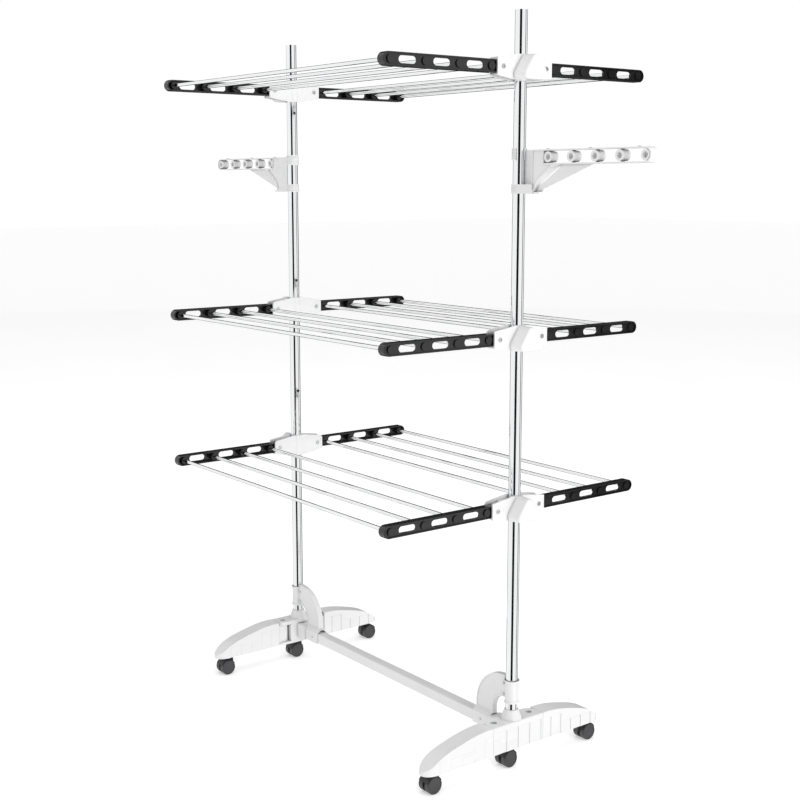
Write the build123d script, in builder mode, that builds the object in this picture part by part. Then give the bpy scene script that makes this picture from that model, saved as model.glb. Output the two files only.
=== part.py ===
from build123d import *
import os
from math import cos, radians, sin

# Folding three-tier clothes drying rack. All sizes are in millimetres.
# The origin is on the floor, midway between the two posts. X runs from post to post, along the
# rods, Y runs along the wing arms, and Z is up. But for the middle casters, which trail the same
# way at both posts, the rack is the same when turned half round Z. So every piece of a post is
# made once, for the post at +X, about that post's own axis.
os.makedirs("parts", exist_ok=True)

# ---- driving dimensions ---------------------------------------------------------------------
POST_X = 365.0  # from the middle to a post's axis
TUBE_R = 11.0
TUBE_WALL = 1.2
POST_FOOT_Z = 58.0
POST_TOP_Z = 1372.0
TIERS = {"bottom": 497.0, "middle": 807.0, "top": 1274.5}  # height of each tier's rods
POSTS = {"right": (POST_X, 0), "left": (-POST_X, 180)}  # place on X and turn about Z
FIT = 0.05  # clearance between pieces fixed to each other
RUNNING_FIT = 0.1  # clearance of a pin in a turning part
GAP = 0.3  # clearance between moving faces

# Wings
PIVOT_Y = 50.0
ARM_TIP_Y = 302.0
ARM_R = 11.25  # half the arm's height and the radius of its ends
ARM_HALF_X = 8.5
ROD_R = 3.5
ROD_FIRST_Y = 72.4
ROD_PITCH = 71.4
RODS = 4
PIVOT_R = 3.0

# Brackets
SHELL_IN_X = 9.0
SHELL_OUT_X = 12.0
SHELL_END_Y = 62.7
SHELL_END_Z = 15.3
SHELL_MID_Y = 14.0
SHELL_MID_Z = 22.5
KNOB_FRONT_X = 42.0
PLUNGER_R = 3.0

# Base
BASE_Z = 38.0
BASE_TOP_Z = 91.5
SEAM_Y = 62.0
LEG_PIN_Y = 44.0
LEG_PIN_R = 4.0
LEG_HALF_X = 21.0
LEG_INNER_X = -15.0  # the side that faces the middle of the rack
LEG_TIP_Y = 218.0
KNUCKLE_R = 11.5
PLATE_LOW_TOP_Z = 43.2
PLATE_HIGH_Z = 83.8
HUB_INNER_X = 17.5
BAR_HALF = 11.0
BAR_Z = 66.5
BAR_WALL = 1.5
BAR_INSET = 20.0  # from the post's axis to the crossbar's end
BOSS_X = 48.0
SADDLE_END_X = 96.0

# Casters
WHEEL_R = 16.0
STEM_R = 3.5
STEM_TOP_Z = 55.0
TRAIL = 12.0  # from the swivel's axis to the wheels' axle
CASTER_Y = 182.0
WEB_HALF_X = 2.2
WHEEL_OUT_X = 15.0
HOOD_HALF_X = 12.5
AXLE_R = 2.5

# Hanger arms
HANGER_Z = 1122.5
HANGER_END_X = 299.0
HANGER_R = 12.75
HANGER_HALF_Y = 9.0
RINGS = 5
RING_FIRST_X = 80.0
RING_R = 9.25
RING_BORE_R = 5.3


def save(piece, name):
    """Name a finished piece and write it as its own STEP file."""
    piece.label = name
    export_step(piece, f"parts/{name}.step")


def placed(piece, x, y, z, turn=0):
    """A copy of a finished piece, turned about Z and then moved."""
    with BuildPart() as copy:
        with Locations((x, y, z)):
            add(piece, rotation=(0, 0, turn))
    return copy.part


def group(pieces):
    """Several pieces that share one node, each still a solid of its own."""
    with BuildPart() as pieces_together:
        for piece in pieces:
            add(piece)
    return pieces_together.part


def dome_radius(edge_r, height):
    """The radius of the sphere whose cap has this edge radius and height."""
    return (edge_r**2 + height**2) / (2 * height)


# ---- posts ----------------------------------------------------------------------------------
SNAP_HOLES_Z = (620.3, 867.7, 1228.1)
SNAP_BUTTONS_Z = (607.9, 855.2, 1242.7)
SNAP_R = 3.2


def make_post():
    """A chromed tube with holes for the lock plungers outside and the snap buttons inside."""
    with BuildPart() as post:
        with BuildSketch(Plane.XY.offset(POST_FOOT_Z)):
            Circle(TUBE_R)
            Circle(TUBE_R - TUBE_WALL, mode=Mode.SUBTRACT)
        extrude(amount=POST_TOP_Z - POST_FOOT_Z)
        with BuildSketch(Plane.YZ):
            with Locations([(0, z) for z in TIERS.values()]):
                Circle(PLUNGER_R + GAP)
        extrude(amount=TUBE_R + 1, mode=Mode.SUBTRACT)
        with BuildSketch(Plane.YZ):
            with Locations([(0, z) for z in SNAP_HOLES_Z]):
                Circle(SNAP_R)
            with Locations([(0, z) for z in SNAP_BUTTONS_Z]):
                Circle(SNAP_R + FIT)
        extrude(amount=-TUBE_R - 1, mode=Mode.SUBTRACT)
    return post.part


def make_snap_button():
    """A spring button's round nose, standing out of its hole towards the middle of the rack."""
    nose = 1.6
    with BuildPart() as button:
        with BuildSketch(Plane.XZ):
            with BuildLine():
                Polyline((-TUBE_R - nose, 0), (-8, 0), (-8, SNAP_R), (-TUBE_R, SNAP_R))
                RadiusArc((-TUBE_R, SNAP_R), (-TUBE_R - nose, 0), -dome_radius(SNAP_R, nose))
            make_face()
        revolve(axis=Axis.X)
    return button.part


# ---- wings ----------------------------------------------------------------------------------
RIM = 2.4
WEB_X = (3.0, 6.0)
SOCKET_R = 7.0
SOCKET_FLOOR_X = 5.0
SLOT_LENGTH = 37.0
SLOT_HEIGHT = 12.5
ROD_YS = [ROD_FIRST_Y + i * ROD_PITCH for i in range(RODS)]


def make_arm():
    """A channel-shaped plastic arm that points along +Y, with its face towards +X."""
    length = ARM_TIP_Y - ARM_R - PIVOT_Y
    middle_y = PIVOT_Y + length / 2
    with BuildPart() as arm:
        with BuildSketch(Plane.YZ.offset(-ARM_HALF_X)):
            with Locations((middle_y, 0)):
                SlotCenterToCenter(length, 2 * ARM_R)
        extrude(amount=2 * ARM_HALF_X)
        fillet(arm.edges().group_by(Axis.X)[-1] + arm.edges().group_by(Axis.X)[0], 0.8)
        with BuildSketch(Plane.YZ.offset(-ARM_HALF_X)) as back:
            with Locations((middle_y, 0)):
                SlotCenterToCenter(length, 2 * (ARM_R - RIM))
            with Locations([(y, 0) for y in ROD_YS]):
                Circle(SOCKET_R, mode=Mode.SUBTRACT)
            with Locations((PIVOT_Y, 0)):
                Rectangle(2 * ARM_R, 2 * ARM_R, mode=Mode.SUBTRACT)
        extrude(amount=ARM_HALF_X + WEB_X[0], mode=Mode.SUBTRACT)
        with BuildSketch(Plane.YZ.offset(WEB_X[1])):
            add(back.sketch_local)
        extrude(amount=ARM_HALF_X - WEB_X[1], mode=Mode.SUBTRACT)
        with BuildSketch(Plane.YZ.offset(-ARM_HALF_X)):
            with Locations([(y + ROD_PITCH / 2, 0) for y in ROD_YS[:-1]]):
                SlotOverall(SLOT_LENGTH, SLOT_HEIGHT)
        extrude(amount=2 * ARM_HALF_X, mode=Mode.SUBTRACT)
        with BuildSketch(Plane.YZ.offset(-ARM_HALF_X)):
            with Locations([(y, 0) for y in ROD_YS]):
                Circle(ROD_R + FIT)
        extrude(amount=ARM_HALF_X + SOCKET_FLOOR_X, mode=Mode.SUBTRACT)
        with BuildSketch(Plane.YZ.offset(-ARM_HALF_X)):
            with Locations((PIVOT_Y, 0)):
                Circle(PIVOT_R + RUNNING_FIT)
        extrude(amount=2 * ARM_HALF_X, mode=Mode.SUBTRACT)
    return arm.part


def make_wing_arms():
    """Both arms of the wing that points along +Y, one at each post, at height zero."""
    arm = make_arm()
    with BuildPart() as arms:
        with Locations((POST_X, 0, 0)):
            add(arm)
        mirror(arms.part, about=Plane.YZ)
    return arms.part


def make_wing_rods():
    """The four chromed rods of the wing that points along +Y, at height zero."""
    half_length = POST_X + SOCKET_FLOOR_X
    with BuildPart() as rods:
        with BuildSketch(Plane.YZ.offset(-half_length)):
            with Locations([(y, 0) for y in ROD_YS]):
                Circle(ROD_R)
        extrude(amount=2 * half_length)
    return rods.part


# ---- brackets -------------------------------------------------------------------------------
SHELL_CORNER_R = 0.8
SHELL_CLEAR_CORNER_R = 7.0  # the inner shells' ends, which a folding wing's first rod passes


def shell_outline(corner_r):
    """A bracket shell's eight-sided outline, with its four end corners rounded."""
    corners = [
        (-SHELL_END_Y, -SHELL_END_Z),
        (-SHELL_MID_Y, -SHELL_MID_Z),
        (SHELL_MID_Y, -SHELL_MID_Z),
        (SHELL_END_Y, -SHELL_END_Z),
        (SHELL_END_Y, SHELL_END_Z),
        (SHELL_MID_Y, SHELL_MID_Z),
        (-SHELL_MID_Y, SHELL_MID_Z),
        (-SHELL_END_Y, SHELL_END_Z),
    ]
    with BuildSketch() as outline:
        Polygon(*corners, align=None)
        fillet(outline.vertices().filter_by(lambda corner: abs(corner.X) > SHELL_MID_Y + 1), corner_r)
    return outline.sketch_local


def make_bracket_shell(bulged):
    """One half of the clamp on a post: the half on the +X side of the post's axis."""
    outline = shell_outline(SHELL_CLEAR_CORNER_R if bulged else SHELL_CORNER_R)
    bulge_r = TUBE_R + 3.0
    clamp_half_y = PIVOT_Y - ARM_R - 2.5
    ledge_top = -ARM_R - GAP
    with BuildPart() as shell:
        if bulged:
            with BuildSketch(Plane.XY.offset(-SHELL_MID_Z)):
                Circle(bulge_r)
            extrude(amount=2 * SHELL_MID_Z)
            with BuildSketch(Plane.YZ.offset(SHELL_IN_X)):
                add(outline)
            extrude(amount=bulge_r - SHELL_IN_X, mode=Mode.INTERSECT)
        with BuildSketch(Plane.YZ.offset(SHELL_IN_X)):
            add(outline)
        extrude(amount=SHELL_OUT_X - SHELL_IN_X)
        with BuildSketch(Plane.YZ.offset(FIT)):
            Rectangle(2 * clamp_half_y, 2 * SHELL_END_Z)
            with Locations((PIVOT_Y + 6, ledge_top - 1.5), (-PIVOT_Y - 6, ledge_top - 1.5)):
                Rectangle(8, 3)
        extrude(amount=SHELL_IN_X - FIT)
        with BuildSketch(Plane.XY.offset(-SHELL_MID_Z)):
            Circle(TUBE_R + FIT)
        extrude(amount=2 * SHELL_MID_Z, mode=Mode.SUBTRACT)
        with BuildSketch(Plane.YZ):
            with Locations((PIVOT_Y, 0), (-PIVOT_Y, 0)):
                Circle(PIVOT_R + FIT)
            if not bulged:
                Circle(PLUNGER_R + GAP)
        extrude(amount=SHELL_OUT_X + 5, mode=Mode.SUBTRACT)
    return shell.part


def make_pivot_rivet():
    """A tubular rivet through both shells and one arm, along X."""
    head_r = 4.2
    head = 0.9
    eyelet_r = 2.7
    eyelet_depth = 0.8
    reach = SHELL_OUT_X + head
    with BuildPart() as rivet:
        with BuildSketch(Plane.YZ.offset(-SHELL_OUT_X)):
            Circle(PIVOT_R)
        extrude(amount=2 * SHELL_OUT_X)
        with BuildSketch(Plane.YZ.offset(SHELL_OUT_X)):
            Circle(head_r)
        extrude(amount=head)
        with BuildSketch(Plane.YZ.offset(-SHELL_OUT_X)):
            Circle(head_r)
        extrude(amount=-head)
        fillet(rivet.edges().group_by(Axis.X)[-1] + rivet.edges().group_by(Axis.X)[0], 0.4)
        with BuildSketch(Plane.YZ.offset(reach)):
            Circle(eyelet_r)
        extrude(amount=-eyelet_depth, mode=Mode.SUBTRACT)
    return rivet.part


def knob_outline(shrink):
    """The knob's rounded triangle, point up, drawn on the current sketch."""
    corners = [(0, 10.5, 12.0), (-17, -12, 10.5), (17, -12, 10.5)]
    for y, z, radius in corners:
        with Locations((y, z)):
            Circle(radius - shrink)
    make_hull()


def make_lock_knob():
    """The lock knob, pulled out along +X, with the spring plunger that enters the post."""
    back_x = SHELL_OUT_X + 0.1
    plunger_tip_x = TUBE_R - TUBE_WALL - 0.8
    with BuildPart() as knob:
        with BuildSketch(Plane.YZ.offset(back_x)):
            knob_outline(0)
        with BuildSketch(Plane.YZ.offset(KNOB_FRONT_X)):
            knob_outline(1.6)
        loft()
        fillet(knob.edges().group_by(Axis.X)[-1], 3.5)
        with BuildSketch(Plane.YZ.offset(plunger_tip_x)):
            Circle(PLUNGER_R)
        extrude(amount=back_x - plunger_tip_x)
    return knob.part


# ---- base -----------------------------------------------------------------------------------
FLUTE_DEPTH = 0.9
HUB_FLUTES_Y = (-28.5, 0.0, 29.0)
LEG_FLUTES_Y = (84.0, 110.0, 136.5, 163.0, 189.5)


def flute(y_shallow, y_deep, face_x):
    """A shallow wedge in a side face, deepest at one end, drawn on the current XY sketch."""
    outer_x = face_x + (0.5 if face_x > 0 else -0.5)
    floor_x = face_x - (FLUTE_DEPTH if face_x > 0 else -FLUTE_DEPTH)
    Polygon((outer_x, y_shallow), (face_x, y_shallow), (floor_x, y_deep), (outer_x, y_deep), align=None)


def make_hub():
    """The hub under a post, with slots for two legs, the crossbar's socket and the cone."""
    height = BASE_TOP_Z - BASE_Z
    recess_y = LEG_PIN_Y - KNUCKLE_R - 1.0
    plate_r = SEAM_Y - LEG_PIN_Y - 0.5
    skin = 3.0
    cone_top_z = 109.0
    cone_base_r = 20.5
    cone_top_r = 12.8
    boss_half_y = 15.0
    boss_half_z = 15.5
    with BuildPart() as hub:
        with BuildSketch(Plane.XY.offset(BASE_Z)):
            with Locations(((LEG_HALF_X - HUB_INNER_X) / 2, 0)):
                Rectangle(LEG_HALF_X + HUB_INNER_X, 2 * recess_y)
            with Locations((LEG_HALF_X - skin / 2, 0)):
                Rectangle(skin, 2 * (SEAM_Y - 0.15))
        extrude(amount=height)
        for low, high in ((BASE_Z, PLATE_LOW_TOP_Z), (PLATE_HIGH_Z, BASE_TOP_Z)):
            with BuildSketch(Plane.XY.offset(low)):
                with Locations((LEG_HALF_X / 2, 0)):
                    Rectangle(LEG_HALF_X, 2 * (SEAM_Y - 0.15))
                with Locations((-HUB_INNER_X / 2, 0)):
                    Rectangle(HUB_INNER_X, 2 * LEG_PIN_Y)
                with Locations((0, LEG_PIN_Y), (0, -LEG_PIN_Y)):
                    Circle(plate_r)
            extrude(amount=high - low)
        with BuildSketch(Plane.XY.offset(PLATE_HIGH_Z)):
            Circle(cone_base_r)
        extrude(amount=BASE_TOP_Z - PLATE_HIGH_Z)
        top_edges = hub.edges().filter_by(Axis.Y).filter_by_position(Axis.Z, BASE_TOP_Z - 0.1, BASE_TOP_Z + 0.1)
        fillet(top_edges.sort_by(Axis.X)[-1], 2.5)
        with BuildSketch(Plane.YZ.offset(-HUB_INNER_X)):
            with Locations((0, BAR_Z)):
                RectangleRounded(2 * boss_half_y, 2 * boss_half_z, 2)
        extrude(amount=HUB_INNER_X - BOSS_X)
        with BuildSketch(Plane.XY.offset(BASE_TOP_Z)):
            Circle(cone_base_r)
        with BuildSketch(Plane.XY.offset(cone_top_z)):
            Circle(cone_top_r)
        loft()
        with BuildSketch(Plane.XY.offset(cone_top_z)):
            Circle(TUBE_R + FIT)
        extrude(amount=POST_FOOT_Z - cone_top_z, mode=Mode.SUBTRACT)
        with BuildSketch(Plane.YZ.offset(-BOSS_X)):
            with Locations((0, BAR_Z)):
                Rectangle(2 * BAR_HALF, 2 * BAR_HALF)
        extrude(amount=BOSS_X - BAR_INSET, mode=Mode.SUBTRACT)
        with BuildSketch(Plane.XY.offset(BASE_Z)):
            Circle(STEM_R + RUNNING_FIT)
        extrude(amount=STEM_TOP_Z + GAP - BASE_Z, mode=Mode.SUBTRACT)
        with Locations((0, LEG_PIN_Y, BASE_TOP_Z), (0, -LEG_PIN_Y, BASE_TOP_Z)):
            CounterBoreHole(LEG_PIN_R + FIT, 6.5, 4.5, depth=height)
        with BuildSketch(Plane.XY.offset(BASE_Z)):
            for start, end in zip((-SEAM_Y + 4,) + HUB_FLUTES_Y, HUB_FLUTES_Y + (SEAM_Y - 4,)):
                flute(start, end, LEG_HALF_X)
        extrude(amount=height - 11, mode=Mode.SUBTRACT)
    return hub.part


def make_leg():
    """A hinged leg that points along +Y from a hub, a shell with a solid toe for the caster."""
    wall = 3.5
    middle_x = (LEG_HALF_X + LEG_INNER_X) / 2
    width = LEG_HALF_X - LEG_INNER_X
    butt_y = SEAM_Y + 0.3
    cavity = (butt_y + 6, 160.0)
    neck_z = (PLATE_LOW_TOP_Z + GAP, PLATE_HIGH_Z - GAP)
    toe_y = 192.0  # where the leg's plan starts to round off
    ridge = [(90, 90.6), (110, 87.8), (136, 82.2), (165, 74.6), (194, 62.0), (211, 50.5)]
    with BuildPart() as leg:
        with BuildSketch(Plane.YZ.offset(LEG_INNER_X)):
            with BuildLine():
                Spline([(butt_y, BASE_TOP_Z)] + ridge + [(LEG_TIP_Y, 40.0)], tangents=[(1, 0), (0, -1)])
                Polyline((LEG_TIP_Y, 40.0), (LEG_TIP_Y, BASE_Z), (butt_y, BASE_Z), (butt_y, BASE_TOP_Z))
            make_face()
        extrude(amount=width)
        with BuildSketch(Plane.XY.offset(BASE_Z - 1)):
            with Locations((middle_x, (butt_y + toe_y) / 2)):
                Rectangle(width, toe_y - butt_y + 2)
            with Locations((middle_x, toe_y)):
                Ellipse(width / 2, LEG_TIP_Y - toe_y)
        extrude(amount=BASE_TOP_Z - BASE_Z + 2, mode=Mode.INTERSECT)
        with BuildSketch(Plane.XY.offset(BASE_Z)):
            for face_x in (LEG_HALF_X, LEG_INNER_X):
                for start, end in zip((butt_y + 3,) + LEG_FLUTES_Y[:1], LEG_FLUTES_Y[:2]):
                    flute(start, end, face_x)
        extrude(amount=BASE_TOP_Z - BASE_Z - 13, mode=Mode.SUBTRACT)
        with BuildSketch(Plane.XY.offset(BASE_Z)):
            for face_x in (LEG_HALF_X, LEG_INNER_X):
                for start, end in zip(LEG_FLUTES_Y[1:-1], LEG_FLUTES_Y[2:]):
                    flute(start, end, face_x)
        extrude(amount=24, mode=Mode.SUBTRACT)
        with BuildSketch(Plane.YZ.offset(LEG_INNER_X + wall)):
            with BuildLine():
                Polyline((cavity[1], 70.5), (cavity[1], BASE_Z), (cavity[0], BASE_Z), (cavity[0], 87.5))
                Spline((cavity[0], 87.5), (110, 83.8), (136, 78.2), (cavity[1], 70.5))
            make_face()
        extrude(amount=width - 2 * wall, mode=Mode.SUBTRACT)
        with BuildSketch(Plane.XY.offset(neck_z[0])):
            with Locations((0, LEG_PIN_Y)):
                Circle(KNUCKLE_R)
            with Locations((0, (LEG_PIN_Y + cavity[0]) / 2)):
                Rectangle(2 * KNUCKLE_R, cavity[0] - LEG_PIN_Y)
        extrude(amount=neck_z[1] - neck_z[0])
        with BuildSketch(Plane.XY.offset(BASE_Z)):
            with Locations((0, LEG_PIN_Y)):
                Circle(LEG_PIN_R + RUNNING_FIT)
        extrude(amount=BASE_TOP_Z - BASE_Z, mode=Mode.SUBTRACT)
        with BuildSketch(Plane.XY.offset(BASE_Z)):
            with Locations((0, CASTER_Y)):
                Circle(STEM_R + RUNNING_FIT)
        extrude(amount=STEM_TOP_Z + GAP - BASE_Z, mode=Mode.SUBTRACT)
    return leg.part


def mirrored(piece):
    """A piece's mirror image across the XZ plane."""
    with BuildPart() as image:
        mirror(piece, about=Plane.XZ)
    return image.part


def make_leg_pin():
    """A leg's hinge pin, with its head sunk in the hub's top."""
    with BuildPart() as pin:
        with BuildSketch(Plane.XY.offset(BASE_Z + 0.5)):
            Circle(LEG_PIN_R)
        extrude(amount=BASE_TOP_Z - 4.5 - BASE_Z - 0.5)
        with BuildSketch(Plane.XY.offset(BASE_TOP_Z - 4.5)):
            Circle(6.2)
        extrude(amount=2)
        chamfer(pin.edges().group_by(Axis.Z)[-1], 0.5)
    return pin.part


def make_crossbar():
    """The square tube between the two hubs."""
    half_length = POST_X - BAR_INSET
    with BuildPart() as bar:
        with BuildSketch(Plane.YZ.offset(-half_length)):
            with Locations((0, BAR_Z)):
                RectangleRounded(2 * BAR_HALF, 2 * BAR_HALF, 2)
                inner = 2 * (BAR_HALF - BAR_WALL)
                Rectangle(inner, inner, mode=Mode.SUBTRACT)
        extrude(amount=2 * half_length)
        with BuildSketch(Plane.XZ.offset(-BAR_HALF - 1)):
            with Locations((POST_X - SADDLE_RIVET_X, BAR_Z), (SADDLE_RIVET_X - POST_X, BAR_Z)):
                Circle(RIVET_R + FIT)
        extrude(amount=2 * BAR_HALF + 2, mode=Mode.SUBTRACT)
    return bar.part


# ---- gussets --------------------------------------------------------------------------------
GUSSET_HALF_Y = 6.0
GUSSET_SHEET = 1.6
GUSSET_SEAM = 0.1
GUSSET_OUT_X = -20.0  # centre of the outer arc
GUSSET_IN_X = -15.0  # centre of the inner arc
GUSSET_CENTRE_Z = 97.0
GUSSET_OUT_R = 74.0
GUSSET_IN_R = 31.0
GUSSET_FOOT_Z = 84.0
SADDLE_RIVET_X = 75.0
SLEEVE_RIVETS = ((-17.0, 134.0), (-17.0, 155.5))
RIVET_R = 2.0


def gusset_profile(inset):
    """The gusset's quarter ring and its foot, drawn inside by an inset, with X across and Z up."""
    out_x = GUSSET_OUT_X
    in_x = GUSSET_IN_X
    cz = GUSSET_CENTRE_Z
    out_r = GUSSET_OUT_R - inset
    in_r = GUSSET_IN_R + inset
    start_x = -TUBE_R - 1.0
    foot_z = GUSSET_FOOT_Z + inset
    slant = cos(radians(45))
    with BuildSketch() as profile:
        with BuildLine():
            Line((start_x, cz + out_r), (out_x, cz + out_r))
            ThreePointArc(
                (out_x, cz + out_r), (out_x - out_r * slant, cz + out_r * slant), (out_x - out_r, cz)
            )
            Polyline((out_x - out_r, cz), (out_x - out_r, foot_z), (in_x - in_r, foot_z), (in_x - in_r, cz))
            ThreePointArc((in_x - in_r, cz), (in_x - in_r * slant, cz + in_r * slant), (in_x, cz + in_r))
            Polyline((in_x, cz + in_r), (start_x, cz + in_r), (start_x, cz + out_r))
        make_face()
    return profile.sketch_local


def make_gusset_half():
    """The +Y stamping: half a gusset, half the sleeve round the post, half the bar's saddle."""
    saddle_out = BAR_HALF + GUSSET_SHEET
    bar_top = BAR_Z + BAR_HALF
    sleeve = [
        (TUBE_R + FIT, 122.0),
        (14.2, 122.0),
        (14.2, 124.0),
        (12.7, 126.0),
        (12.7, 160.0),
        (14.8, 163.5),
        (14.8, 165.5),
        (13.4, 165.5),
        (TUBE_R + FIT, 161.5),
    ]
    with BuildPart() as half:
        with BuildSketch(Plane.XZ.offset(-GUSSET_SEAM)):
            add(gusset_profile(0))
        extrude(amount=GUSSET_SEAM - GUSSET_HALF_Y)
        fillet(half.edges().group_by(Axis.Y)[-1], 1.2)
        with BuildSketch(Plane.XZ.offset(-GUSSET_HALF_Y)):
            add(gusset_profile(4.0))
        extrude(amount=0.6, mode=Mode.SUBTRACT)
        with BuildSketch(Plane.XZ.offset(-GUSSET_SEAM)):
            add(gusset_profile(GUSSET_SHEET))
        extrude(amount=GUSSET_SEAM - GUSSET_HALF_Y + GUSSET_SHEET + 0.6, mode=Mode.SUBTRACT)
        with BuildSketch(Plane.XZ.offset(-GUSSET_SEAM)):
            with Locations(SLEEVE_RIVETS):
                Circle(RIVET_R + 1.5)
        extrude(amount=GUSSET_SEAM - GUSSET_HALF_Y)
        with BuildSketch(Plane.YZ.offset(-SADDLE_END_X)):
            Polygon(
                (BAR_HALF, 54.0),
                (saddle_out, 54.0),
                (saddle_out, bar_top + 0.6),
                (GUSSET_HALF_Y, GUSSET_FOOT_Z + 0.8),
                (GUSSET_HALF_Y, GUSSET_FOOT_Z + 2.0),
                (GUSSET_SEAM, GUSSET_FOOT_Z + 2.0),
                (GUSSET_SEAM, GUSSET_FOOT_Z),
                (GUSSET_HALF_Y - 1.6, GUSSET_FOOT_Z),
                (BAR_HALF, bar_top),
                align=None,
            )
        extrude(amount=SADDLE_END_X - BOSS_X)
        with BuildSketch(Plane.XZ):
            Polygon(*sleeve, align=None)
        revolve(axis=Axis.Z, revolution_arc=180)
        with BuildSketch(Plane.XY):
            with Locations((0, -25)):
                Rectangle(60, 50 + 2 * GUSSET_SEAM)
        extrude(amount=BASE_TOP_Z * 2, mode=Mode.SUBTRACT)
        with BuildSketch(Plane.XY.offset(GUSSET_FOOT_Z)):
            Circle(TUBE_R + FIT)
        extrude(amount=100, mode=Mode.SUBTRACT)
        with BuildSketch(Plane.XZ):
            with Locations(SLEEVE_RIVETS):
                Circle(RIVET_R + FIT)
            with Locations((-SADDLE_RIVET_X, BAR_Z)):
                Circle(RIVET_R + FIT)
        extrude(amount=-saddle_out - 1, mode=Mode.SUBTRACT)
    return half.part


def make_gusset():
    """Both stamped halves of a gusset."""
    with BuildPart() as gusset:
        add(make_gusset_half())
        mirror(gusset.part, about=Plane.XZ)
    return gusset.part


def make_rivet(reach):
    """A dome-headed rivet along Y through the origin, from face to face at plus and minus reach."""
    head_r = 3.4
    head = 1.8
    with BuildPart() as rivet:
        with BuildSketch(Plane.XZ.offset(-reach)):
            Circle(RIVET_R)
        extrude(amount=2 * reach)
        with BuildSketch(Plane.XY):
            with BuildLine():
                Polyline((0, reach + head), (0, reach), (head_r, reach))
                RadiusArc((head_r, reach), (0, reach + head), -dome_radius(head_r, head))
            make_face()
        revolve(axis=Axis.Y)
        mirror(rivet.part, about=Plane.XZ)
    return rivet.part


def make_gusset_rivets():
    """The three rivets of each gusset, at their places on both posts."""
    thin = make_rivet(GUSSET_HALF_Y)
    wide = make_rivet(BAR_HALF + GUSSET_SHEET)
    with BuildPart() as rivets:
        for side_x, turn in POSTS.values():
            outward = 1 if turn == 0 else -1
            with Locations([(side_x + outward * x, 0, z) for x, z in SLEEVE_RIVETS]):
                add(thin)
            with Locations((side_x - outward * SADDLE_RIVET_X, 0, BAR_Z)):
                add(wide)
    return rivets.part


# ---- casters --------------------------------------------------------------------------------
def make_caster_housing():
    """A twin-wheel caster's hood, web and stem, about its swivel axis, trailing along -Y."""
    hood_r = WHEEL_R + 1.7
    clear_r = WHEEL_R + 0.6
    hood_low = 7.0  # from the axle up to the hood's lower edge
    collar_top = BASE_Z - GAP
    with BuildPart() as housing:
        with BuildSketch(Plane.YZ.offset(-HOOD_HALF_X)):
            with Locations((-TRAIL, WHEEL_R)):
                Circle(hood_r)
            with Locations((-TRAIL, WHEEL_R + hood_low - hood_r)):
                Rectangle(2 * hood_r + 1, 2 * hood_r, mode=Mode.SUBTRACT)
        extrude(amount=2 * HOOD_HALF_X)
        with BuildSketch(Plane.XY.offset(WHEEL_R)):
            Circle(6.5)
        extrude(amount=collar_top - WHEEL_R)
        for start_x, width in ((WEB_HALF_X, HOOD_HALF_X), (-WEB_HALF_X, -HOOD_HALF_X)):
            with BuildSketch(Plane.YZ.offset(start_x)):
                with Locations((-TRAIL, WHEEL_R)):
                    Circle(clear_r)
            extrude(amount=width, mode=Mode.SUBTRACT)
        with BuildSketch(Plane.YZ.offset(-WEB_HALF_X)):
            with Locations((-TRAIL, WHEEL_R)):
                Circle(WHEEL_R - 4)
        extrude(amount=2 * WEB_HALF_X)
        with BuildSketch(Plane.YZ.offset(-WEB_HALF_X)):
            with Locations((-TRAIL, WHEEL_R)):
                Circle(AXLE_R + RUNNING_FIT)
        extrude(amount=2 * WEB_HALF_X, mode=Mode.SUBTRACT)
        with BuildSketch(Plane.XY.offset(collar_top)):
            Circle(STEM_R)
        extrude(amount=STEM_TOP_Z - collar_top)
    return housing.part


def make_caster_wheels():
    """Two wheels and their axle, about the swivel axis of the housing that holds them."""
    inner_x = WEB_HALF_X + 0.5
    dish = [
        (inner_x, AXLE_R + FIT),
        (inner_x, WHEEL_R - 1.0),
        (inner_x + 1.0, WHEEL_R),
        (WHEEL_OUT_X - 1.6, WHEEL_R),
        (WHEEL_OUT_X - 0.3, WHEEL_R - 1.4),
        (WHEEL_OUT_X - 0.3, WHEEL_R - 2.6),
        (WHEEL_OUT_X - 1.0, WHEEL_R - 3.4),
        (WHEEL_OUT_X - 0.6, 3.0),
        (WHEEL_OUT_X - 0.6, 0),
        (WHEEL_OUT_X - 1.6, 0),
        (WHEEL_OUT_X - 1.6, AXLE_R + FIT),
    ]
    with BuildPart() as wheels:
        with BuildSketch(Plane.XY):
            Polygon(*dish, align=None)
        revolve(axis=Axis.X)
        mirror(wheels.part, about=Plane.YZ)
        with BuildSketch(Plane.YZ.offset(-WHEEL_OUT_X + 2)):
            Circle(AXLE_R)
        extrude(amount=2 * WHEEL_OUT_X - 4)
    return placed(wheels.part, 0, -TRAIL, WHEEL_R)


# ---- hanger arms ----------------------------------------------------------------------------
CLIP_R = 13.4
CLIP_MOUTH = 70.0  # degrees, from the arm to the upper clip's free end
CLIPS_Z = {"upper": (-4.5, 16.5), "lower": (-62.0, -46.0)}
RAIL = 2.4
NUBS_X = (72.0, 172.0, 280.0)
RING_XS = [RING_FIRST_X + i * (HANGER_END_X - RING_FIRST_X) / (RINGS - 1) for i in range(RINGS)]


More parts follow.
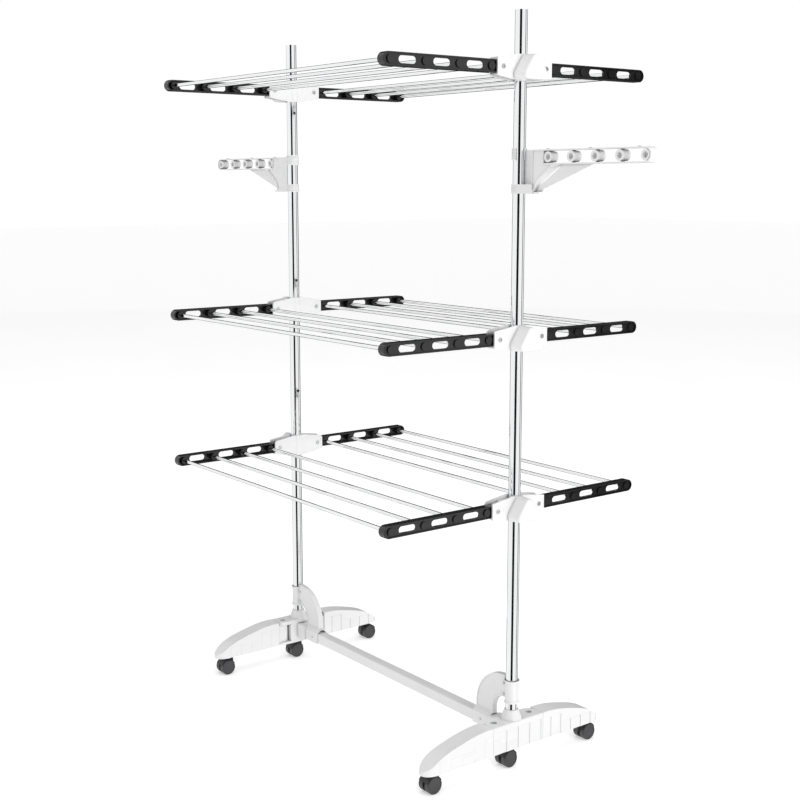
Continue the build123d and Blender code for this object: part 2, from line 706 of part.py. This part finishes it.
def make_clip(low, high, mouth):
    """A ribbed ring round the post between two heights, open over a mouth in degrees, or closed."""
    bore = TUBE_R + GAP
    rib = 2.6
    reach = 2 * CLIP_R
    with BuildPart() as clip:
        with BuildSketch(Plane.XY.offset(low)):
            Circle(CLIP_R)
            Circle(bore, mode=Mode.SUBTRACT)
            if mouth:
                free_end = (reach * cos(radians(mouth)), -reach * sin(radians(mouth)))
                Polygon((0, 0), free_end, (reach, 0), align=None, mode=Mode.SUBTRACT)
        extrude(amount=high - low)
        for step in range(1, int((high - low) / rib)):
            with BuildSketch(Plane.XY.offset(low + step * rib)):
                Circle(CLIP_R + 1)
                Circle(CLIP_R - 0.35, mode=Mode.SUBTRACT)
            extrude(amount=0.6, mode=Mode.SUBTRACT)
    return clip.part


def make_hanger():
    """A hanger arm with five rings that points along +X and clips round the post at zero."""
    bore = TUBE_R + GAP
    column_x = 41.0
    plate_x = 70.0
    foot_z = -62.0
    web_start_x = 8.0
    web_y = 3.0  # the column is a channel, open towards -Y
    band_y = (-12.0, -7.5)
    recess = 1.2
    with BuildPart() as hanger:
        add(make_clip(*CLIPS_Z["upper"], CLIP_MOUTH))
        add(make_clip(*CLIPS_Z["lower"], 0))
        with BuildSketch(Plane.XY.offset(foot_z)):
            with Locations(((web_start_x + column_x) / 2, (web_y + HANGER_HALF_Y) / 2)):
                Rectangle(column_x - web_start_x, HANGER_HALF_Y - web_y)
        extrude(amount=HANGER_R - foot_z)
        with BuildSketch(Plane.XY.offset(CLIPS_Z["lower"][0])):
            with Locations((column_x / 2 + 3, (band_y[0] + band_y[1]) / 2)):
                Rectangle(column_x, band_y[1] - band_y[0])
        extrude(amount=CLIPS_Z["lower"][1] - CLIPS_Z["lower"][0])
        with BuildSketch(Plane.XY.offset(foot_z)):
            Circle(bore)
        extrude(amount=HANGER_R + 2 - foot_z, mode=Mode.SUBTRACT)
        with BuildSketch(Plane.XZ.offset(-HANGER_HALF_Y)):
            with BuildLine():
                Polyline((column_x, foot_z), (column_x, HANGER_R), (HANGER_END_X, HANGER_R))
                ThreePointArc(
                    (HANGER_END_X, HANGER_R), (HANGER_END_X + HANGER_R, 0), (HANGER_END_X, -HANGER_R)
                )
                Line((HANGER_END_X, -HANGER_R), (115, -HANGER_R))
                Spline(
                    (115, -HANGER_R),
                    (79, -23),
                    (56, -40.5),
                    (column_x + 3, foot_z),
                    tangents=[(-1, 0), (-0.35, -1)],
                )
                Line((column_x + 3, foot_z), (column_x, foot_z))
            make_face()
            with BuildLine():
                Polyline((HANGER_END_X, HANGER_R - RAIL), (plate_x, HANGER_R - RAIL))
                Polyline((plate_x, HANGER_R - RAIL), (plate_x, RAIL - HANGER_R), (HANGER_END_X, RAIL - HANGER_R))
                ThreePointArc(
                    (HANGER_END_X, RAIL - HANGER_R),
                    (HANGER_END_X + HANGER_R - RAIL, 0),
                    (HANGER_END_X, HANGER_R - RAIL),
                )
            make_face(mode=Mode.SUBTRACT)
        extrude(amount=2 * HANGER_HALF_Y)
        for face_y, depth in ((-HANGER_HALF_Y, recess), (HANGER_HALF_Y, -recess)):
            with BuildSketch(Plane.XZ.offset(face_y)):
                with BuildLine():
                    Polyline((46, -54), (43.5, -54), (43.5, 10.3), (67.6, 10.3), (67.6, -12.5), (88, -14))
                    Spline((88, -14), (78, -20.5), (58, -35.5), (46, -54))
                make_face()
            extrude(amount=depth, mode=Mode.SUBTRACT)
        with BuildSketch(Plane.XZ.offset(-1.5)):
            with BuildLine():
                Polyline(
                    (column_x, foot_z + 4),
                    (column_x, foot_z),
                    (59, foot_z),
                    (66, -52.5),
                    (180, -HANGER_R),
                    (110, -HANGER_R),
                    (column_x, foot_z + 4),
                )
            make_face()
        extrude(amount=3)
        with BuildSketch(Plane.XZ.offset(-HANGER_HALF_Y)):
            with BuildLine():
                Polyline((column_x, foot_z), (59, foot_z), (61, foot_z + 3), (column_x, foot_z + 3))
                Line((column_x, foot_z + 3), (column_x, foot_z))
            make_face()
        extrude(amount=2 * HANGER_HALF_Y)
        with BuildSketch(Plane.XZ.offset(-HANGER_HALF_Y + 0.5)):
            with Locations([(x, 0) for x in RING_XS]):
                Circle(RING_R)
        extrude(amount=2 * HANGER_HALF_Y - 1)
        with BuildSketch(Plane.XZ.offset(-3)):
            with Locations([(x, 0) for x in RING_XS]):
                Rectangle(3, 2 * HANGER_R - RAIL)
        extrude(amount=6)
        with BuildSketch(Plane.XZ.offset(-HANGER_HALF_Y - 1)):
            with Locations([(x, 0) for x in RING_XS]):
                Circle(RING_BORE_R)
        extrude(amount=2 * HANGER_HALF_Y + 2, mode=Mode.SUBTRACT)
        with BuildSketch(Plane.XY.offset(HANGER_R)):
            with Locations([(x, 0) for x in NUBS_X]):
                Circle(3.2)
        extrude(amount=1.6)
    return hanger.part


# ---- the assembly ---------------------------------------------------------------------------
post = make_post()
hub = make_hub()
gusset = make_gusset()
hanger = make_hanger()
outer_shell = make_bracket_shell(bulged=False)
inner_shell = make_bracket_shell(bulged=True)
knob = make_lock_knob()
leg = make_leg()
leg_pin = make_leg_pin()
housing = make_caster_housing()
wheels = make_caster_wheels()
wing_arms = make_wing_arms()
wing_rods = make_wing_rods()
snap_button = make_snap_button()
pivot_rivet = make_pivot_rivet()

save(make_crossbar(), "crossbar")
save(make_gusset_rivets(), "gusset_rivets")

for side, (side_x, turn) in POSTS.items():
    save(placed(post, side_x, 0, 0, turn), f"post_{side}")
    save(placed(hub, side_x, 0, 0, turn), f"hub_{side}")
    save(placed(gusset, side_x, 0, 0, turn), f"gusset_{side}")
    save(placed(hanger, side_x, 0, HANGER_Z, turn), f"hanger_arm_{side}")
    save(placed(housing, side_x, 0, 0), f"caster_housing_{side}_middle")
    save(placed(wheels, side_x, 0, 0), f"caster_wheels_{side}_middle")
    for tier, tier_z in TIERS.items():
        save(placed(outer_shell, side_x, 0, tier_z, turn), f"bracket_outer_{side}_{tier}")
        save(placed(inner_shell, side_x, 0, tier_z, 180 - turn), f"bracket_inner_{side}_{tier}")
        save(placed(knob, side_x, 0, tier_z, turn), f"lock_knob_{side}_{tier}")

# The front wings and legs point along -Y, the back ones along +Y.
for end, direction, turn in (("front", -1, 180), ("back", 1, 0)):
    for tier, tier_z in TIERS.items():
        save(placed(wing_arms, 0, 0, tier_z, turn), f"wing_arms_{tier}_{end}")
        save(placed(wing_rods, 0, 0, tier_z, turn), f"wing_rods_{tier}_{end}")
    for side, (side_x, post_turn) in POSTS.items():
        hand = leg if turn == post_turn else mirrored(leg)
        save(placed(hand, side_x, 0, 0, post_turn), f"leg_{side}_{end}")
        caster_y = direction * CASTER_Y
        save(placed(housing, side_x, caster_y, 0, 180 - turn), f"caster_housing_{side}_{end}")
        save(placed(wheels, side_x, caster_y, 0, 180 - turn), f"caster_wheels_{side}_{end}")

leg_pins = [
    placed(leg_pin, side_x, y, 0) for side_x, _ in POSTS.values() for y in (-LEG_PIN_Y, LEG_PIN_Y)
]
save(group(leg_pins), "leg_hinge_pins")
pivot_rivets = [
    placed(pivot_rivet, side_x, y, z, turn)
    for side_x, turn in POSTS.values()
    for z in TIERS.values()
    for y in (-PIVOT_Y, PIVOT_Y)
]
save(group(pivot_rivets), "wing_pivot_rivets")
snap_buttons = [
    placed(snap_button, side_x, 0, z, turn) for side_x, turn in POSTS.values() for z in SNAP_BUTTONS_Z
]
save(group(snap_buttons), "post_snap_buttons")
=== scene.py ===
from math import cos, pi, radians, sin

import bpy
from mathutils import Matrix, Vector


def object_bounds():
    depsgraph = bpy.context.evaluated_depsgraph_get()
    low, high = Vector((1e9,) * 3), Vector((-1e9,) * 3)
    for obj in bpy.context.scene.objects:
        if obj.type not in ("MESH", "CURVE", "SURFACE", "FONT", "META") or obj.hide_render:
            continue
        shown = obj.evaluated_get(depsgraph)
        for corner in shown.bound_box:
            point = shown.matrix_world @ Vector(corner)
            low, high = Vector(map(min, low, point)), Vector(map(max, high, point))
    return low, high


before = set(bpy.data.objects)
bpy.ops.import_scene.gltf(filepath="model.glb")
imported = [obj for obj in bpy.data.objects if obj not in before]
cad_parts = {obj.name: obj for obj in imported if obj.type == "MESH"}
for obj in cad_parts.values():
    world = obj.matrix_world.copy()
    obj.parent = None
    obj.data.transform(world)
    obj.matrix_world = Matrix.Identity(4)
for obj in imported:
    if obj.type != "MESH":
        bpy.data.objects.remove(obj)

# Folding three-tier clothes drying rack: materials, edge softening, studio and camera.
# Everything is in metres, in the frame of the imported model.
cad_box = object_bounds()

# ---- driving values -------------------------------------------------------------------------
CAMERA_AT = (2.082, -1.573, 1.076)
CAMERA_AZIMUTH = radians(52.64)
CAMERA_DOWN = radians(9.36)
CAMERA_LENS = 58.8  # mm
CAMERA_SENSOR = 36  # mm
SKY_SEEN = 1.02  # what the camera sees behind the rack
SKY_MIRRORED = 0.98  # what chrome and gloss reflect
SKY_LIGHT = 0.6  # what lights the matt surfaces
BEHIND_CARD_GLOW = 0.03
CARD_GLOW = 0.01  # nearly black, for the dark lines in the chrome
SOFT_EDGE = 0.0005  # radius of a moulded edge
LEG_EDGE = 0.0012  # the legs and hubs have rounder edges
SHARP = radians(34)  # edges that turn more than this are softened
EDGE_STEPS = 3
WELD_REACH = 0.00001
PAINTED_SHADE_REACH = 0.006  # how near surfaces meet for the painted shade in a crease


# ---- node helpers ---------------------------------------------------------------------------
def new_material(name):
    """A material with its Principled shader: (material, node tree, shader)."""
    made = bpy.data.materials.new(name)
    made.use_nodes = True
    tree = made.node_tree
    return made, tree, tree.nodes["Principled BSDF"]


def add_noise(tree, scale, detail, stretch=(1, 1, 1)):
    """Noise in the frame's own coordinates, scaled differently along each axis."""
    place = tree.nodes.new("ShaderNodeTexCoord")
    mapping = tree.nodes.new("ShaderNodeMapping")
    mapping.inputs["Scale"].default_value = stretch
    noise = tree.nodes.new("ShaderNodeTexNoise")
    noise.inputs["Scale"].default_value = scale
    noise.inputs["Detail"].default_value = detail
    tree.links.new(place.outputs["Object"], mapping.inputs["Vector"])
    tree.links.new(mapping.outputs["Vector"], noise.inputs["Vector"])
    return noise.outputs["Fac"]


def add_range(tree, value, low, high):
    """The value, spread from low to high."""
    spread = tree.nodes.new("ShaderNodeMapRange")
    spread.inputs["From Min"].default_value = 0.3
    spread.inputs["From Max"].default_value = 0.7
    spread.inputs["To Min"].default_value = low
    spread.inputs["To Max"].default_value = high
    tree.links.new(value, spread.inputs["Value"])
    return spread.outputs["Result"]


def add_tint(tree, value, first, second):
    """A colour between two, chosen by the value."""
    ramp = tree.nodes.new("ShaderNodeValToRGB")
    ramp.color_ramp.elements[0].position = 0.3
    ramp.color_ramp.elements[0].color = (*first, 1)
    ramp.color_ramp.elements[1].position = 0.7
    ramp.color_ramp.elements[1].color = (*second, 1)
    tree.links.new(value, ramp.inputs["Fac"])
    return ramp.outputs["Color"]


def add_bump(tree, shader, value, height, strength):
    """Bump from the value, of a real height in metres."""
    bump = tree.nodes.new("ShaderNodeBump")
    bump.inputs["Distance"].default_value = height
    bump.inputs["Strength"].default_value = strength
    tree.links.new(value, bump.inputs["Height"])
    tree.links.new(bump.outputs["Normal"], shader.inputs["Normal"])


def add_painted_crease_shade(tree, colour, shade, reach):
    """The colour with painted shade: darkened a little where surfaces meet within reach of each
    other.
    """
    crease = tree.nodes.new("ShaderNodeAmbientOcclusion")
    crease.inputs["Distance"].default_value = reach
    crease.samples = 8
    mix = tree.nodes.new("ShaderNodeMix")
    mix.data_type = "RGBA"
    mix.inputs["A"].default_value = (*shade, 1)
    tree.links.new(crease.outputs["AO"], mix.inputs["Factor"])
    tree.links.new(colour, mix.inputs["B"])
    return mix.outputs["Result"]


# ---- materials ------------------------------------------------------------------------------
def make_chrome(name, grain):
    """Polished chrome plate with faint draw lines along the tube or rod."""
    made, tree, shader = new_material(name)
    shader.inputs["Metallic"].default_value = 1.0
    cloud = add_noise(tree, 9, 3)
    lines = add_noise(tree, 1, 4, grain)
    tint = add_tint(tree, cloud, (0.86, 0.87, 0.88), (0.92, 0.925, 0.93))
    tree.links.new(tint, shader.inputs["Base Color"])
    tree.links.new(add_range(tree, lines, 0.025, 0.075), shader.inputs["Roughness"])
    add_bump(tree, shader, lines, 0.000004, 0.25)
    return made


def make_moulded(name, dark, light, shade, rough, grain_scale, grain_height):
    """Moulded plastic: slight flow marks in the colour, a fine grain, and painted shade in the
    creases.
    """
    made, tree, shader = new_material(name)
    shader.inputs["Specular IOR Level"].default_value = 0.5
    flow = add_noise(tree, 14, 4, (1, 0.6, 1.6))
    grain = add_noise(tree, grain_scale, 3)
    colour = add_painted_crease_shade(tree, add_tint(tree, flow, dark, light), shade, PAINTED_SHADE_REACH)
    tree.links.new(colour, shader.inputs["Base Color"])
    tree.links.new(add_range(tree, flow, *rough), shader.inputs["Roughness"])
    add_bump(tree, shader, grain, grain_height, 0.5)
    return made


def make_powder_coat(name):
    """White powder coat with its orange-peel surface, and painted shade in the creases."""
    made, tree, shader = new_material(name)
    shader.inputs["Coat Weight"].default_value = 0.25
    shader.inputs["Coat Roughness"].default_value = 0.18
    peel = add_noise(tree, 420, 2)
    cloud = add_noise(tree, 11, 3)
    tint = add_tint(tree, cloud, (0.83, 0.83, 0.832), (0.87, 0.87, 0.87))
    colour = add_painted_crease_shade(tree, tint, (0.42, 0.42, 0.43), PAINTED_SHADE_REACH)
    tree.links.new(colour, shader.inputs["Base Color"])
    tree.links.new(add_range(tree, peel, 0.26, 0.38), shader.inputs["Roughness"])
    add_bump(tree, shader, peel, 0.00003, 0.4)
    return made


def make_steel(name):
    """Bright plated steel with a turned grain."""
    made, tree, shader = new_material(name)
    shader.inputs["Metallic"].default_value = 1.0
    turned = add_noise(tree, 1, 3, (2200, 300, 300))
    tint = add_tint(tree, turned, (0.62, 0.63, 0.65), (0.8, 0.81, 0.82))
    tree.links.new(tint, shader.inputs["Base Color"])
    tree.links.new(add_range(tree, turned, 0.18, 0.34), shader.inputs["Roughness"])
    add_bump(tree, shader, turned, 0.00001, 0.3)
    return made


ACROSS = 900  # lines per metre across the draw direction
ALONG = 6
post_chrome = make_chrome("post_chrome", (ACROSS, ACROSS, ALONG))
rod_chrome = make_chrome("rod_chrome", (ALONG, ACROSS, ACROSS))
white_plastic = make_moulded(
    "white_plastic",
    dark=(0.83, 0.83, 0.835),
    light=(0.87, 0.87, 0.872),
    shade=(0.38, 0.38, 0.39),
    rough=(0.26, 0.36),
    grain_scale=1500,
    grain_height=0.000012,
)
black_plastic = make_moulded(
    "black_plastic",
    dark=(0.010, 0.010, 0.011),
    light=(0.017, 0.017, 0.018),
    shade=(0.004, 0.004, 0.004),
    rough=(0.12, 0.2),
    grain_scale=1800,
    grain_height=0.000008,
)
caster_black = make_moulded(
    "caster_black",
    dark=(0.008, 0.008, 0.009),
    light=(0.014, 0.014, 0.015),
    shade=(0.003, 0.003, 0.003),
    rough=(0.3, 0.45),
    grain_scale=1400,
    grain_height=0.00001,
)
caster_tread = make_moulded(
    "caster_tread",
    dark=(0.045, 0.045, 0.047),
    light=(0.065, 0.065, 0.068),
    shade=(0.004, 0.004, 0.004),
    rough=(0.42, 0.58),
    grain_scale=1100,
    grain_height=0.00002,
)
powder_coat = make_powder_coat("white_powder_coat")
steel = make_steel("plated_steel")

MATERIAL_OF = (
    ("post_snap_buttons", steel),
    ("post_", post_chrome),
    ("wing_rods_", rod_chrome),
    ("wing_arms_", black_plastic),
    ("caster_housing_", caster_black),
    ("caster_wheels_", caster_tread),
    ("crossbar", powder_coat),
    ("gusset_rivets", steel),
    ("gusset_", powder_coat),
    ("leg_hinge_pins", steel),
    ("wing_pivot_rivets", steel),
    ("", white_plastic),
)
EDGE_OF = (
    ("leg_hinge_pins", 0),
    ("leg_", LEG_EDGE),
    ("hub_", LEG_EDGE),
    ("lock_knob_", SOFT_EDGE),
    ("bracket_", SOFT_EDGE),
    ("hanger_arm_", SOFT_EDGE),
    ("", 0),
)


def first_match(table, name):
    """The value of the first entry whose prefix the name has."""
    return next(value for prefix, value in table if name.startswith(prefix))


def soften(node, width):
    """Rounds the node's sharp edges with modifiers, leaving its mesh alone."""
    weld = node.modifiers.new("weld", "WELD")
    weld.merge_threshold = WELD_REACH
    bevel = node.modifiers.new("bevel", "BEVEL")
    bevel.width = width
    bevel.segments = EDGE_STEPS
    bevel.limit_method = "ANGLE"
    bevel.angle_limit = SHARP
    bevel.use_clamp_overlap = True
    normals = node.modifiers.new("normals", "WEIGHTED_NORMAL")
    normals.keep_sharp = True


for name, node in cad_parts.items():
    material = first_match(MATERIAL_OF, name)
    if node.material_slots:
        for material_slot in node.material_slots:
            material_slot.material = material
    else:
        node.data.materials.append(material)
    edge = first_match(EDGE_OF, name)
    if edge:
        soften(node, edge)


# ---- studio ---------------------------------------------------------------------------------
FLOOR_SIZE = 60.0
FLOOR_GLOW = 0.38  # a lit table, so that shadows on it stay faint
CARD_RADIUS = 9.0
CARD_HALF_HEIGHT = 9.0
CARD_STEP = radians(4)


def make_floor():
    """The plain pale floor."""
    bpy.ops.mesh.primitive_plane_add(size=FLOOR_SIZE, location=(0, 0, 0))
    floor = bpy.context.active_object
    floor.name = "studio_floor"
    made, tree, shader = new_material("studio_floor")
    tint = add_tint(tree, add_noise(tree, 2, 2), (0.93, 0.93, 0.93), (0.95, 0.95, 0.95))
    tree.links.new(tint, shader.inputs["Base Color"])
    shader.inputs["Roughness"].default_value = 0.9
    shader.inputs["Emission Color"].default_value = (1, 1, 1, 1)
    shader.inputs["Emission Strength"].default_value = FLOOR_GLOW
    floor.data.materials.append(made)
    floor.visible_glossy = False


def make_card(name, start, end, level):
    """A tall curved dark card round the rack, seen only in reflections, between two azimuths."""
    steps = max(2, round(radians(end - start) / CARD_STEP))
    points = []
    for i in range(steps + 1):
        azimuth = radians(start + (end - start) * i / steps)
        x, y = CARD_RADIUS * sin(azimuth), -CARD_RADIUS * cos(azimuth)
        points += [(x, y, -CARD_HALF_HEIGHT), (x, y, CARD_HALF_HEIGHT)]
    faces = [(2 * i, 2 * i + 2, 2 * i + 3, 2 * i + 1) for i in range(steps)]
    mesh = bpy.data.meshes.new(name)
    mesh.from_pydata(points, [], faces)
    card = bpy.data.objects.new(name, mesh)
    bpy.context.scene.collection.objects.link(card)
    made, tree, shader = new_material(name)
    shader.inputs["Base Color"].default_value = (0, 0, 0, 1)
    shader.inputs["Specular IOR Level"].default_value = 0.0
    shader.inputs["Emission Color"].default_value = (1, 1, 1, 1)
    shader.inputs["Emission Strength"].default_value = level
    mesh.materials.append(made)
    card.visible_camera = False
    card.visible_diffuse = False
    card.visible_shadow = False


def add_light(name, at, towards, size, watts):
    """A soft square area light."""
    data = bpy.data.lights.new(name, "AREA")
    data.shape = "SQUARE"
    data.size = size
    data.energy = watts
    light = bpy.data.objects.new(name, data)
    bpy.context.scene.collection.objects.link(light)
    light.location = at
    direction = light.location - towards
    light.rotation_euler = direction.to_track_quat("Z", "Y").to_euler()
    light.visible_glossy = False


def make_world():
    """An even white surround, dimmer as a light than as a background."""
    world = bpy.data.worlds.new("studio")
    world.use_nodes = True
    tree = world.node_tree
    rays = tree.nodes.new("ShaderNodeLightPath")
    strength = None
    for ray, level in (("Is Glossy Ray", SKY_MIRRORED), ("Is Camera Ray", SKY_SEEN)):
        choose = tree.nodes.new("ShaderNodeMix")
        choose.inputs["A"].default_value = SKY_LIGHT
        choose.inputs["B"].default_value = level
        tree.links.new(rays.outputs[ray], choose.inputs["Factor"])
        if strength is not None:
            tree.links.new(strength, choose.inputs["A"])
        strength = choose.outputs["Result"]
    background = tree.nodes["Background"]
    background.inputs["Color"].default_value = (1, 1, 1, 1)
    tree.links.new(strength, background.inputs["Strength"])
    bpy.context.scene.world = world


make_floor()
make_card("card_behind_camera", 24, 64, CARD_GLOW)
make_card("card_right", 132, 146, CARD_GLOW)
make_card("card_behind_rack", 180, 267, BEHIND_CARD_GLOW)
low, high = cad_box
middle = (low + high) / 2
add_light("key", (4.6, 0.4, 2.2), middle, 2.5, 75)
add_light("top", (0.0, -0.5, 5.0), middle, 4.0, 42)
make_world()
bpy.context.scene.view_settings.view_transform = "Standard"

# ---- camera ---------------------------------------------------------------------------------
camera_data = bpy.data.cameras.new("camera")
camera_data.lens = CAMERA_LENS
camera_data.sensor_width = CAMERA_SENSOR
camera = bpy.data.objects.new("camera", camera_data)
bpy.context.scene.collection.objects.link(camera)
camera.location = CAMERA_AT
camera.rotation_euler = (pi / 2 - CAMERA_DOWN, 0, CAMERA_AZIMUTH)
bpy.context.scene.camera = camera
